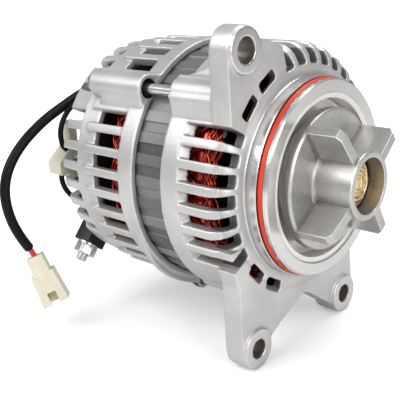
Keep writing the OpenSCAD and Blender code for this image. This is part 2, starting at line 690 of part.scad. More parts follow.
// Rectifier, regulator
diode_angles = [20, 60, 100, 140, 180, 205];
spacer_angles = [0, 80, 160, 222];
module horseshoe(x0, x1, ro, ri) {
    difference() {
        tube(x0, x1, ro, ri);
        station(-62) box(x0 - 5, x1 + 5, -70, 0, -24, 24);
        station(-80) box(x0 - 5, x1 + 5, -70, 0, -30, 30);
        station(-100) box(x0 - 5, x1 + 5, -70, 0, -24, 24);
    }
}
module rectifier_negative_plate() {
    difference() {
        horseshoe(plate_in, x_neg, plate_r, plate_r - 17.5);
        for (a = spacer_angles) station(a) translate([0, -plate_r + 6, 0]) xr(plate_in - 1, x_neg + 1, 1.6);
        translate([0, grommet_y, grommet_z]) xr(plate_in - 1, x_neg + 1, 6.5);
        station(stud_a) box(plate_in - 1, x_neg + 1, -body_r, -plate_r + 21, -14, 14);
    }
}
module rectifier_positive_plate() {
    difference() {
        union() {
            horseshoe(x_pos, x_pos + 2.5, plate_r, plate_r - 23);
            station(stud_a) box(x_pos + 0.1, x_pos + 2.4, -bus_r - 1.2, -bus_r + 6, -8, 24);
        }
        for (a = spacer_angles) station(a) translate([0, -plate_r + 6, 0]) xr(x_pos - 1, x_pos + 4, 1.6);
    }
}
module rectifier_diodes() {
    for (a = diode_angles) station(a) translate([0, -plate_r + 12.5, 0]) {
        xr(x_neg, x_neg + 6, 4.6);
        xr(x_neg, x_pos, 1);
    }
}
module plate_spacers() {
    for (a = spacer_angles) station(a) translate([0, -plate_r + 6, 0]) {
        tube(x_neg, x_pos, 3.5, 1.6);
        xr(plate_in, x_pos + 2.5, 1.6);
        xr(x_pos + 2.5, x_pos + 4.3, 3.2);
    }
}
reg_pr = 38.5;
reg_angles = [-113, -67];
reg_t = 2.5;
reg_low = -body_r + 11;
module voltage_regulator() {
    difference() {
        union() {
            intersection() {
                box(plate_in, plate_in + reg_t, -22, 22, -31, reg_low - 4);
                xr(plate_in - 1, plate_in + 15, body_r - wall - 2.5);
            }
            box(plate_in + reg_t, plate_in + 14, -16, 16, holder_z - 2, reg_low);
            for (k = [-3:3]) translate([0, k * 4.8, 0])
                box(plate_in + 14, plate_in + 18, -0.9, 0.9, holder_z - 2.5, reg_low + 0.5);
        }
        for (a = reg_angles) station(a) translate([0, -reg_pr, 0]) xr(plate_in - 1, plate_in + 6, 2.3);
    }
}
module regulator_screws() {
    for (a = reg_angles) station(a) translate([0, -reg_pr, 0]) {
        xr(plate_out - 2, plate_out, 4);
        xr(plate_out, plate_in + reg_t + 1.5, 2.2);
    }
}

// Output terminal
module output_insulator() {
    station(stud_a) {
        difference() {
            union() {
                box(x_term - 5.5, x_end, -term_r, -term_in, -6, 6);
                box(x_term - 4, x_end, -term_in, -pad_r0 - 1, -5, 5);
            }
            translate([x_term, -term_in - 6, 0]) rotate([90, 0, 0]) cylinder(h = 40, r = stud_r);
            box(x_term - 2.3, x_end + 1, -bus_r - 1.4, -bus_r + 1.4, -2.9, 2.9);
        }
    }
}
module output_stud() {
    station(stud_a) translate([x_term, 0, 0]) rotate([90, 0, 0]) {
        difference() {
            translate([0, 0, term_in + 6]) cylinder(h = stud_top - term_in - 6, r = stud_r);
            translate([0, 0, term_r + 6.2]) difference() {
                cylinder(h = 0.6, r = stud_r + 1);
                translate([0, 0, -1]) cylinder(h = 3, r = stud_r - 0.4);
            }
        }
        translate([0, 0, stud_top]) cylinder(h = 0.8, r1 = stud_r, r2 = stud_r - 0.8);
    }
}
module output_washer() {
    station(stud_a) translate([x_term, 0, 0]) rotate([90, 0, 0]) translate([0, 0, term_r]) difference() {
        cylinder(h = 1, r = 5.6);
        translate([0, 0, -1]) cylinder(h = 3, r = stud_r);
    }
}
module output_nut() {
    station(stud_a) translate([x_term, 0, 0]) rotate([90, 0, 0]) translate([0, 0, term_r + 1]) difference() {
        linear_extrude(5) rotate([0, 0, 10]) hexagon(10);
        translate([0, 0, -1]) cylinder(h = 8, r = stud_r);
    }
}
module output_busbar() {
    station(stud_a) box(x_term - 2, x_pos, -bus_r - 1.1, -bus_r + 1.1, -2.5, 2.5);
}

// Leads
module sleeve_boot(end, r, l) {
    intersection() {
        translate(end) rotate([0, 0, 45]) rotate([0, 90, 0]) cylinder(h = l, r = r);
        box(x_end - 20, x_end, -60, 20, 0, 60);
    }
}
module lead_grommet() {
    translate([0, grommet_y, grommet_z]) {
        xr(x_end - 1.8, x_end, 7.4);
        xr(x_end - 1.8, plate_in, 4.9);
    }
    translate([0, nozzle_y, nozzle_z]) xr(x_end - 1.8, x_end, 4);
    sleeve_boot(boot_end + lead_shift, 4.2, 12);
    sleeve_boot(nozzle_end + lead_shift, 2.3, 8);
}
module main_lead_sleeve() {
    translate(lead_shift) cord(route_main, lead_d / 2, 10);
}
module upper_sense_lead() {
    translate(lead_shift) cord(route_sense_a, thin_d / 2, 8);
}
module lower_sense_lead() {
    translate(lead_shift) cord(route_sense_b, thin_d / 2, 8);
}
module connector_wires() {
    d = plug_at - wire_from;
    l = norm(d);
    b = acos(d[2] / l);
    c = atan2(d[1], d[0]);
    translate(lead_shift + wire_from) rotate([0, b, c]) for (s = [-1.25, 1.25])
        translate([0, s, 0.3]) cylinder(h = l - 0.4, r = 1.15);
}
module lead_connector() {
    translate(lead_shift + plug_at) rotate(plug_turn) difference() {
        union() {
            box(-4, 4, -5.2, 5.2, 0, -10);
            box(-4.6, 4.6, -7.2, 7.2, -9, -28);
            box(-6, -4.6, -2.2, 2.2, -12, -24);
        }
        box(-3.3, 3.3, -5.9, 5.9, -15, -29);
        box(2, 6, -2.2, 2.2, -21, -29);
    }
}
module connector_terminals() {
    translate(lead_shift + plug_at) rotate(plug_turn) for (s = [-3, 3])
        box(-0.4, 0.4, s - 1.4, s + 1.4, -15, -24);
}
module sense_connector() {
    translate(lead_shift) slab(-131, -121.5) polygon([[-54.5, 3.4], [-46.4, 9.8], [-40, 9.8], [-40, -6],
        [-48.5, -6], [-49.5, -3.4], [-53.8, -3.4], [-54.5, -2]]);
    translate(lead_shift) box(-129.5, -122.5, -45.4, -40.6, 9, 22);
}

// Assembly
module seated() {
    translate([spigot_len - ear_face, 0, 0]) children();
}
color(alu) seated() drive_end_housing();
color(alu) seated() slip_ring_end_housing();
color(iron) seated() stator_core();
color(copper) seated() stator_winding();
color([0.88, 0.2, 0.1]) seated() spigot_seal_ring();
color(zinc) seated() through_bolts();
color(steel) seated() front_bearing_outer();
color(steel) seated() front_bearing_balls();
color(steel) seated() front_bearing_inner();
color(steel) seated() bearing_retainer();
color(zinc) seated() retainer_screws();
color(black) seated() oil_seal();
color(steel) seated() rear_bearing_outer();
color(steel) seated() rear_bearing_balls();
color(steel) seated() rear_bearing_inner();
color(steel) seated() rotor_shaft();
color(iron) seated() front_claw_pole();
color(iron) seated() rear_claw_pole();
color(black) seated() field_bobbin();
color(copper) seated() field_coil();
color(steel) seated() front_fan();
color(steel) seated() rear_fan();
color(black) seated() slip_ring_core();
color(brass) seated() slip_rings();
color([0.66, 0.64, 0.62]) seated() drive_coupler();
color(brass) seated() coupler_washer();
color(brass) seated() coupler_nut();
color(black) seated() brush_holder();
color([0.2, 0.2, 0.2]) seated() inner_brush();
color([0.2, 0.2, 0.2]) seated() outer_brush();
color(zinc) seated() inner_brush_spring();
color(zinc) seated() outer_brush_spring();
color(alu) seated() rectifier_negative_plate();
color(alu) seated() rectifier_positive_plate();
color(black) seated() rectifier_diodes();
color(black) seated() plate_spacers();
color(black) seated() voltage_regulator();
color(zinc) seated() regulator_screws();
color(black) seated() output_insulator();
color(zinc) seated() output_stud();
color(zinc) seated() output_washer();
color(zinc) seated() output_nut();
color(brass) seated() output_busbar();
color(black) seated() lead_grommet();
color(black) seated() main_lead_sleeve();
color([0.85, 0.1, 0.2]) seated() connector_wires();
color(cream) seated() lead_connector();
color(brass) seated() connector_terminals();
color(black) seated() upper_sense_lead();
color(black) seated() lower_sense_lead();
color(cream) seated() sense_connector();
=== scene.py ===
"""Looks for the flange mounted motorcycle alternator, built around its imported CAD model."""
import json
import math
import random

import bmesh
import bpy
from mathutils import Euler, Matrix, Vector


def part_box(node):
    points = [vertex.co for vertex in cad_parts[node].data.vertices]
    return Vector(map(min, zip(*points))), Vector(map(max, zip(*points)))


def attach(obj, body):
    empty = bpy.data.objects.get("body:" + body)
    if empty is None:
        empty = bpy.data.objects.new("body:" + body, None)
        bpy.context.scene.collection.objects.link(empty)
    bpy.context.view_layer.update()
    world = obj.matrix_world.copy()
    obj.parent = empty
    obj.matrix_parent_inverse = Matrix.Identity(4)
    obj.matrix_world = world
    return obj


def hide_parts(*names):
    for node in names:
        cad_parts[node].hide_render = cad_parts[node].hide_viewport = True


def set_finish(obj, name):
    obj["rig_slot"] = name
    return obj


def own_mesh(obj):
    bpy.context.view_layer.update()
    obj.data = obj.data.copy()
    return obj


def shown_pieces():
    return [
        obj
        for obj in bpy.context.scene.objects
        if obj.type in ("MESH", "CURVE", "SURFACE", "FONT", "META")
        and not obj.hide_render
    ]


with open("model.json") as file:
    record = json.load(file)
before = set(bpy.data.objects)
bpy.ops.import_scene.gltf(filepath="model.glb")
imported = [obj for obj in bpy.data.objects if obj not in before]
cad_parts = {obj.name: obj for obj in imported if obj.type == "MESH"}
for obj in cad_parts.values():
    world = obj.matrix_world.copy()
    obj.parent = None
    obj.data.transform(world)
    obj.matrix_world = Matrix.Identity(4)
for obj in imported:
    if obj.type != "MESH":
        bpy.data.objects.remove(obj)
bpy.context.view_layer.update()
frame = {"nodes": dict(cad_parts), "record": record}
nodes = frame["nodes"]
slot_of = {part["node"]: part["material_slot"] for part in frame["record"]["subparts"]}
rides_on = {node: body for body, held in frame["record"]["behaviour"]["bodies"].items() for node in held}

# Lengths are in millimetres and angles in degrees, unless a line says otherwise
MM = 0.001
# X of the shapes and routes counts from the spigot's front face, as inside part.scad's modules. This is
# the X of that face in the row frame.
SPIGOT_TO_ORIGIN = 9.5
# Vertices nearer to each other than this are one, in metres
WELD = 0.000002
# A direction that no axis or path here runs along
ASIDE = (0.3, 0.5, 0.81)

# Camera, as the photograph was taken
CAMERA_AT = (189.33, -284.62, 107.77)
CAMERA_RIGHT = (0.74091, 0.66858, -0.06367)
CAMERA_UP = (-0.16998, 0.27839, 0.94531)
CAMERA_BACK = (0.64974, -0.68956, 0.31990)
LENS = 71.306
FLOOR_Z = -79.8 * MM

# Leads: points of their routes and their diameters
MAIN_ROUTE = [(-121.1, -17.1, 36.5), (-122.5, -18.5, 36.5), (-124.4, -21.2, 36.2), (-125.8, -24.6, 35.5),
              (-126.6, -28.4, 34.6), (-127, -33, 33.3), (-127, -39, 31.4), (-127, -46, 29), (-127, -54, 26),
              (-127, -61.5, 22.4), (-127, -68.8, 18), (-127, -75, 13), (-127, -79.8, 7.5), (-127, -82.8, 2),
              (-127, -84.4, -4), (-127, -84.6, -10), (-127, -83.8, -16), (-127, -82, -22.5),
              (-127, -79, -29.5), (-127, -75.5, -36)]
UPPER_ROUTE = [(-120.9, -14.6, 30.2), (-121.7, -15.6, 30.2), (-122.3, -17.8, 30.5), (-122.6, -21, 31.2),
               (-122.6, -25.5, 32), (-122.6, -31, 32.4), (-122.6, -36, 31.8), (-122.8, -41, 30),
               (-122.8, -45.5, 27), (-122.8, -48.8, 23), (-122.8, -50.6, 18.6), (-123, -50.7, 14.4),
               (-123.2, -49.8, 11), (-123.2, -48, 8.75)]
LOWER_ROUTE = [(-124.5, -52, -3.55), (-124.5, -52.1, -6), (-124.5, -51.5, -9.2), (-124.4, -49.8, -12.9),
               (-124.3, -46.7, -17), (-124.1, -42.6, -21), (-124, -39.4, -23.9), (-123.9, -36.7, -26.2),
               (-123.8, -34.4, -28.3)]
MAIN_D = 5.0
THIN_D = 2.7

# Plug of the main lead, and how its CAD solid is slimmed in the plug's own axes
PLUG_AT = (-126.6, -73.2, -41)
PLUG_TURN = (20, -10, -43)
NECK_ABOVE, NECK_HALF, NECK_SHARE = -9.5, 4.5, 0.82
SHELL_HALF, SHELL_SHARE = 6.5, 0.95
TAIL_BELOW, TAIL_FROM, TAIL_SHARE = -10.5, -10.0, 0.89
THICKNESS_SHARE = 0.96

# Laminated ring. LAND and SLOT are one slot pitch of it outside and inside, as (angle, radius)
SLOTS = 36
CORE_ENDS = (-40.0, -70.0)
CORE_R, CORE_IN = 56.9, 45.05
SLOT_DEPTH = 6.4
LAND = [(-5.0, CORE_R), (-2.9, CORE_R), (-2.5, CORE_R - 0.6), (1.5, CORE_R - 0.5), (2.1, CORE_R),
        (4.2, CORE_R)]
SLOT = [(-5.0, CORE_IN), (-2.0, CORE_IN), (-1.6, CORE_IN + SLOT_DEPTH), (1.6, CORE_IN + SLOT_DEPTH),
        (2.0, CORE_IN), (4.2, CORE_IN)]

# Winding. WIRE_ROUTE is a wire's way from slot to slot, as (share of its reach, share of its span, radius
# added)
WIRE_R = 0.48
WIRE_LAYERS = 7
FIRST_LAYER_R, LAYERS_DEPTH = 47.3, 4.6
WIRE_SPAN = 30
WIRE_REACH = (16.5, -17.5)
WIRE_ROUTE = [(0.0, 0.0, 0.0), (0.2, 0.01, 0.0), (0.38, 0.07, 0.0), (0.72, 0.2, -0.2), (0.93, 0.34, -0.4),
              (1.0, 0.5, -0.5), (0.93, 0.66, -0.4), (0.72, 0.8, -0.2), (0.38, 0.93, 0.0), (0.2, 0.99, 0.0),
              (0.0, 1.0, 0.0)]
# The solid ring under the wires: where it ends, and how far along its profile bends
BACKING_ENDS = (-28.5, -82.0)
BACKING_BEND = 0.7

# Castings: fineness of the remeshing, rounds of smoothing and share of the faces kept
VOXEL, CAST_PASSES, CAST_SHARE = 0.5, 6, 0.4
# Where the bolt bosses run out into the wall: the range of X, and the outlines as (angle, radius). They
# keep clear of the bolt holes.
DRIVE_BLEND_X = (-45.6, -20.5)
DRIVE_BLENDS = [[(39.0, 64.4), (40.2, 67.0), (49.8, 67.0), (51.0, 64.4)],
                [(33, 58.6), (39.0, 64.5), (42.4, 64.5), (42.4, 58.6)],
                [(57, 58.6), (51.0, 64.5), (47.6, 64.5), (47.6, 58.6)]]
SLIP_RING_BLEND_X = (-64.4, -92.0)
SLIP_RING_BLENDS = [[(34.5, 58.6), (39.3, 63.6), (39.9, 62.0), (39.9, 58.6)],
                    [(55.5, 58.6), (50.7, 63.6), (50.1, 62.0), (50.1, 58.6)]]

# Machined skin of the spigot, as (X, radius): outside, seal groove, front face and recess for the coupler
SPIGOT_LIP = 44.52
SPIGOT_PROFILE = [(-11.2, 45.57), (-5.35, 45.57), (-5.0, 45.2), (-5.0, 41.97), (-2.3, 41.97),
                  (-2.3, SPIGOT_LIP - 0.3), (-2.05, SPIGOT_LIP), (-0.6, SPIGOT_LIP), (0.07, SPIGOT_LIP - 0.6),
                  (0.07, 38.85), (-0.15, 38.62), (-0.73, 38.62), (-0.73, 36.15), (-0.95, 35.93),
                  (-8.9, 35.93), (-8.9, 37.6), (-6.2, 39.0), (-6.2, 43.6), (-11.2, 43.6)]

# Coupler nut: the flange with the threaded shaft end in it as (X, radius), and the hexagon round them
NUT_PROFILE = [(5.6, 6.05), (5.6, 11.8), (13.4, 11.8), (13.9, 11.3), (13.9, 10.7), (13.0, 10.1), (12.6, 9.2),
               (12.6, 8.0), (15.9, 7.7), (16.4, 7.2), (16.4, 6.3), (15.6, 5.8), (14.4, 5.6), (14.4, 4.5),
               (15.4, 4.2), (15.9, 3.8), (15.9, 2.8), (15.3, 2.3), (12.7, 2.3), (12.7, 6.05)]
NUT_FLATS = 16.0
NUT_HEX_X = (12.4, 15.6)

# Brush springs. The share at each end lies flat, and the travel has a little room
SPRING_WIRE, SPRING_TURNS, SPRING_STEPS = 0.3, 7, 14
SPRING_FLAT, SPRING_RISING = 0.1, 0.8

# Output stud. Its foot and top are distances from the shaft's axis
STUD_A = -47.5
STUD_X = -123.5
STUD_R = 3.0
STUD_FOOT, STUD_TOP = 48.0, 70.3
STUD_PITCH, THREAD_FROM, THREAD_DEPTH = 1.0, 61, 0.34
STUD_TIP, TIP_SLOPE = 0.8, 0.9
STUD_SIDES, STUD_STEP = 40, 0.125


def at(x, y, z):
    """A point given in part.scad's inner millimetres, in the row frame in metres."""
    return Vector(((x + SPIGOT_TO_ORIGIN) * MM, y * MM, z * MM))


def station(angle, radius):
    """(y, z) of a point at an angle counted from the near side upwards."""
    a = math.radians(angle)
    return -radius * math.cos(a), radius * math.sin(a)


def link(obj):
    bpy.context.scene.collection.objects.link(obj)
    return obj


# Camera
cam_data = bpy.data.cameras.new("camera")
cam_data.lens = LENS
cam_data.sensor_width = 36
cam_data.sensor_fit = "HORIZONTAL"
cam_data.clip_start = 0.01
camera = link(bpy.data.objects.new("camera", cam_data))
axes = Matrix((CAMERA_RIGHT, CAMERA_UP, CAMERA_BACK)).transposed()
camera.matrix_world = Matrix.Translation(at(*CAMERA_AT)) @ axes.to_4x4()
bpy.context.scene.camera = camera


# Mesh building
def smooth_path(route, steps):
    """Points on a smooth curve through the route."""
    pts = [Vector(p) for p in route]
    out = []
    for i in range(len(pts) - 1):
        p0, p1, p2, p3 = pts[max(i - 1, 0)], pts[i], pts[i + 1], pts[min(i + 2, len(pts) - 1)]
        for k in range(steps):
            t = k / steps
            out.append(0.5 * (2 * p1 + (p2 - p0) * t + (2 * p0 - 5 * p1 + 4 * p2 - p3) * t * t
                              + (3 * p1 - p0 - 3 * p2 + p3) * t ** 3))
    out.append(pts[-1])
    return out


def round_edges(piece, radius, segments, angle):
    """Rounds the edges whose faces turn by more than the angle."""
    rounding = piece.modifiers.new("rounding", "BEVEL")
    rounding.width = radius * MM
    rounding.segments = segments
    rounding.limit_method = "ANGLE"
    rounding.angle_limit = math.radians(angle)
    rounding.harden_normals = True


def shade_faces(mesh, smooth):
    for face in mesh.polygons:
        face.use_smooth = smooth


class Solid:
    """Vertices and faces of one piece, in the row frame."""

    def __init__(self):
        self.verts, self.faces = [], []

    def sweep(self, path, radius, sides):
        """A round closed tube along the path, both in metres."""
        first = len(self.verts)
        count = len(path)
        along = (path[1] - path[0]).normalized()
        across = along.cross(Vector(ASIDE)).normalized()
        for i, p in enumerate(path):
            along = (path[min(i + 1, count - 1)] - path[max(i - 1, 0)]).normalized()
            across = (across - along * across.dot(along)).normalized()
            other = along.cross(across)
            for k in range(sides):
                a = math.tau * k / sides
                self.verts.append(p + (across * math.cos(a) + other * math.sin(a)) * radius)
        for i in range(count - 1):
            for k in range(sides):
                m = (k + 1) % sides
                low, high = first + i * sides, first + (i + 1) * sides
                self.faces.append((low + k, low + m, high + m, high + k))
        self.faces.append(tuple(first + k for k in reversed(range(sides))))
        self.faces.append(tuple(first + (count - 1) * sides + k for k in range(sides)))

    def lathe(self, profile, sides):
        """A closed ring turned about the shaft from an outline of (X, radius) points."""
        first = len(self.verts)
        centre = at(0, 0, 0)
        axis = Vector((1, 0, 0))
        u = axis.cross(Vector(ASIDE)).normalized()
        v = axis.cross(u)
        n = len(profile)
        for k in range(sides):
            a = math.tau * k / sides
            for x, r in profile:
                self.verts.append(centre + axis * (x * MM) + (u * math.cos(a) + v * math.sin(a)) * (r * MM))
        for k in range(sides):
            here, there = first + k * n, first + (k + 1) % sides * n
            for i in range(n):
                j = (i + 1) % n
                self.faces.append((here + i, there + i, there + j, here + j))

    def prism(self, outline, x_range):
        """An outline of (y, z) points, from one X to another."""
        first = len(self.verts)
        n = len(outline)
        for x in x_range:
            self.verts += [at(x, y, z) for y, z in outline]
        for i in range(n):
            j = (i + 1) % n
            self.faces.append((first + i, first + j, first + n + j, first + n + i))
        self.faces.append(tuple(first + i for i in reversed(range(n))))
        self.faces.append(tuple(first + n + i for i in range(n)))

    def make(self, name, body, slot, replaced=(), smooth=True, bevel=0.0):
        """The piece as an object that rides on a body and stands for the replaced nodes."""
        mesh = bpy.data.meshes.new(name)
        mesh.from_pydata(self.verts, [], self.faces)
        mesh.update()
        work = bmesh.new()
        work.from_mesh(mesh)
        bmesh.ops.recalc_face_normals(work, faces=work.faces)
        work.to_mesh(mesh)
        work.free()
        shade_faces(mesh, smooth)
        piece = link(bpy.data.objects.new(name, mesh))
        if bevel:
            round_edges(piece, bevel, 2, 35)
        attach(piece, body)
        if replaced:
            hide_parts(*replaced)
        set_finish(piece, slot)
        return piece


# Leads
def lead(name, node, route, diameter):
    """A round flexible lead along the route's curve, and the points of that curve."""
    path = smooth_path([at(*p) for p in route], 5)
    tube = Solid()
    tube.sweep(path, diameter / 2 * MM, 20)
    return tube.make(name, "frame", "black_rubber", [node]), path


main_lead, main_path = lead("main_lead", "main_lead_sleeve", MAIN_ROUTE, MAIN_D)
upper_lead, upper_path = lead("upper_lead", "upper_sense_lead", UPPER_ROUTE, THIN_D)
lower_lead, lower_path = lead("lower_lead", "lower_sense_lead", LOWER_ROUTE, THIN_D)


# Stator
def end_turns(solid, core, reach, rng):
    """Wires that leave each slot, lean over, run round the ring and drop into the slot three places on."""
    for k in range(SLOTS):
        for layer in range(WIRE_LAYERS):
            r = FIRST_LAYER_R + layer * LAYERS_DEPTH / (WIRE_LAYERS - 1)
            start = k * 360 / SLOTS + rng.uniform(-1.2, 1.2)
            span = WIRE_SPAN if layer % 2 else -WIRE_SPAN
            top = reach * rng.uniform(0.72, 1.0)
            route = [at(core + height * top,
                        *station(start + span * along, r + inward + rng.uniform(-0.15, 0.15)))
                     for height, along, inward in WIRE_ROUTE]
            solid.sweep(smooth_path(route, 2), WIRE_R * MM, 6)


def stator_wires():
    """The end turns at both ends of the core, with a solid ring under them that closes the view."""
    rng = random.Random(11)
    solid = Solid()
    for core, reach in zip(CORE_ENDS, WIRE_REACH):
        end_turns(solid, core, reach, rng)
    for core, end in zip(CORE_ENDS, BACKING_ENDS):
        middle = core + (end - core) * BACKING_BEND
        solid.lathe([(core, 46.8), (core, 51.2), (middle, 50.6), (end, 49.2), (middle, 47.6)], 72)
    return solid.make("stator_wires", "frame", "enamelled_copper", ["stator_winding"])


def stator_stack():
    """The laminated ring: lands and shallow notches outside, slots for the winding inside."""
    solid = Solid()
    pitch = 360 / SLOTS
    rings = [[station(k * pitch + turn, r) for k in range(SLOTS) for turn, r in tooth]
             for tooth in (LAND, SLOT)]
    for ring in rings:
        for x in CORE_ENDS:
            solid.verts += [at(x, y, z) for y, z in ring]
    n = len(rings[0])
    for i in range(n):
        j = (i + 1) % n
        solid.faces += [(i, j, n + j, n + i), (2 * n + j, 2 * n + i, 3 * n + i, 3 * n + j),
                        (j, i, 2 * n + i, 2 * n + j), (n + i, n + j, 3 * n + j, 3 * n + i)]
    return solid.make("stator_stack", "frame", "laminated_steel", ["stator_core"], smooth=False)


# Pieces finished from their CAD solids
def welded(node):
    """A copy of a node's mesh, and a work mesh of it without double vertices."""
    mesh = nodes[node].data.copy()
    work = bmesh.new()
    work.from_mesh(mesh)
    bmesh.ops.remove_doubles(work, verts=work.verts, dist=WELD)
    return mesh, work


def stand_for(node, name, mesh, rounded=0.0):
    """A piece of the frame that shows the mesh in place of a node, with its sharp edges rounded if asked."""
    mesh.materials.clear()
    mesh.name = name
    shade_faces(mesh, True)
    piece = link(bpy.data.objects.new(name, mesh))
    if rounded:
        round_edges(piece, rounded, 3, 30)
    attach(piece, "frame")
    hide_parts(node)
    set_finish(piece, slot_of[node])
    return piece


def moulded(node, radius):
    """The CAD solid of a small node with its sharp edges rounded."""
    mesh, work = welded(node)
    bmesh.ops.dissolve_limit(work, angle_limit=math.radians(1), verts=work.verts, edges=work.edges)
    work.to_mesh(mesh)
    work.free()
    return stand_for(node, node + "_moulded", mesh, radius)


def cast(node, x_range, outlines):
    """The CAD solid of a node with blends added, and with the rounded edges and corners of a casting."""
    mesh, work = welded(node)
    for outline in outlines:
        blend = Solid()
        blend.prism([station(angle, radius) for angle, radius in outline], x_range)
        verts = [work.verts.new(v) for v in blend.verts]
        faces = [work.faces.new([verts[i] for i in face]) for face in blend.faces]
        bmesh.ops.recalc_face_normals(work, faces=faces)
    work.to_mesh(mesh)
    work.free()
    rough = link(bpy.data.objects.new(node + "_rough", mesh))
    remesh = rough.modifiers.new("remesh", "REMESH")
    remesh.mode = "VOXEL"
    remesh.voxel_size = VOXEL * MM
    smooth = rough.modifiers.new("smooth", "SMOOTH")
    smooth.factor = 0.5
    smooth.iterations = CAST_PASSES
    fewer = rough.modifiers.new("fewer", "DECIMATE")
    fewer.ratio = CAST_SHARE
    bpy.context.view_layer.update()
    done = bpy.data.meshes.new_from_object(rough.evaluated_get(bpy.context.evaluated_depsgraph_get()))
    bpy.data.objects.remove(rough)
    return stand_for(node, node + "_cast", done)


def slimmer_plug():
    """The plug's CAD solid with a narrower neck and a shorter shell, as it looks from the near side."""
    piece = moulded("lead_connector", 0.9)
    turn = Euler([math.radians(a) for a in PLUG_TURN], "XYZ").to_matrix().to_4x4()
    place = Matrix.Translation(at(*PLUG_AT)) @ turn @ Matrix.Scale(MM, 4)
    back = place.inverted()
    for vertex in piece.data.vertices:
        x, y, z = back @ vertex.co
        if z > NECK_ABOVE and abs(y) > NECK_HALF:
            y *= NECK_SHARE
        elif abs(y) > SHELL_HALF:
            y *= SHELL_SHARE
        if z < TAIL_BELOW:
            z = TAIL_FROM + (z - TAIL_FROM) * TAIL_SHARE
        vertex.co = place @ Vector((x * THICKNESS_SHARE, y, z))
    return piece


# Turned and wound pieces
def turned_spigot():
    """The machined skin of the spigot."""
    solid = Solid()
    solid.lathe(SPIGOT_PROFILE, 160)
    piece = solid.make("turned_spigot", "frame", "cast_aluminium")
    sharp = piece.modifiers.new("sharp", "EDGE_SPLIT")
    sharp.split_angle = math.radians(30)
    return piece


def brush_spring(node):
    """A coil spring behind a brush."""
    low, high = (Vector(corner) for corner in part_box(node))
    wire = SPRING_WIRE * MM
    middle = (low + high) / 2
    coil = (high.x - low.x) / 2 - wire
    path = []
    for i in range(SPRING_TURNS * SPRING_STEPS + 1):
        a = math.tau * i / SPRING_STEPS
        t = i / (SPRING_TURNS * SPRING_STEPS)
        rise = min(1.0, max(0.0, (t - SPRING_FLAT) / SPRING_RISING))
        path.append(Vector((middle.x + coil * math.cos(a), middle.y + coil * math.sin(a),
                            low.z + wire + (high.z - low.z - 2 * wire) * rise)))
    solid = Solid()
    solid.sweep(path, wire, 8)
    piece = solid.make(node + "_coil", "frame", "zinc_plated_steel", [node])
    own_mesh(piece)
    return piece


def hexagon(flats):
    """Corners of a hexagon that measures flats across its flats."""
    r = flats / 2 / math.cos(math.pi / 6)
    return [(r * math.cos(k * math.pi / 3), r * math.sin(k * math.pi / 3)) for k in range(6)]


def coupler_nut():
    """Flanged nut in the coupler's socket with the threaded end of the shaft in it."""
    solid = Solid()
    solid.lathe(NUT_PROFILE, 72)
    solid.prism(hexagon(NUT_FLATS), NUT_HEX_X)
    return solid.make("coupler_flange_nut", rides_on["coupler_nut"], "yellow_brass", ["coupler_nut"],
                      bevel=0.35)


def threaded_stud():
    """The output stud with its thread, turned about the terminal's own direction."""
    a = math.radians(STUD_A)
    axis = Vector((0, -math.cos(a), math.sin(a)))
    side = Vector((1, 0, 0))
    other = axis.cross(side)
    base = at(STUD_X, 0, 0)
    solid = Solid()
    count = int((STUD_TOP - STUD_FOOT) / STUD_STEP)
    for i in range(count + 1):
        h = STUD_FOOT + i * STUD_STEP
        for k in range(STUD_SIDES):
            phase = (h / STUD_PITCH - k / STUD_SIDES) % 1.0
            depth = THREAD_DEPTH * (1 - abs(2 * phase - 1)) if h > THREAD_FROM else 0.0
            tip = max(0.0, h - (STUD_TOP - STUD_TIP))
            r = (STUD_R - depth * (1 - tip / STUD_TIP) - tip * TIP_SLOPE) * MM
            t = math.tau * k / STUD_SIDES
            solid.verts.append(base + axis * h * MM + (side * math.cos(t) + other * math.sin(t)) * r)
    for i in range(count):
        for k in range(STUD_SIDES):
            m = (k + 1) % STUD_SIDES
            low, high = i * STUD_SIDES, (i + 1) * STUD_SIDES
            solid.faces.append((low + k, low + m, high + m, high + k))
    solid.faces.append(tuple(range(STUD_SIDES)))
    solid.faces.append(tuple(count * STUD_SIDES + k for k in range(STUD_SIDES)))
    return solid.make("output_stud_thread", "frame", "zinc_plated_steel", ["output_stud"])


stator_wires()
cast("drive_end_housing", DRIVE_BLEND_X, DRIVE_BLENDS)
cast("slip_ring_end_housing", SLIP_RING_BLEND_X, SLIP_RING_BLENDS)
turned_spigot()
brush_spring("inner_brush_spring")
brush_spring("outer_brush_spring")
coupler_nut()
stator_stack()
slimmer_plug()
moulded("sense_connector", 0.7)
moulded("output_insulator", 1.4)
moulded("output_nut", 0.35)
moulded("lead_grommet", 0.4)
threaded_stud()


# Materials. Their coordinates are those of the row frame.
SPIGOT_FOOT, SPIGOT_EDGE, EAR_PLANE = -1.45, 45.9, -0.2
# (y, z) of the bolt holes in the housings, and of the ears' holes with their radii
BOLT_HOLES = [station(angle, 61.5) for angle in (45, 165, 285)]
EAR_HOLES = [((-41.0, 62.5), 5.4), ((-41.5, -70.0), 4.5), ((28.0, -70.0), 4.5)]
# A land or a notch of the laminated ring, where the first one starts, and the height of a lamination
LAND_PITCH, LAND_START, LAMINATION = 5.0, -2.7, 1.0


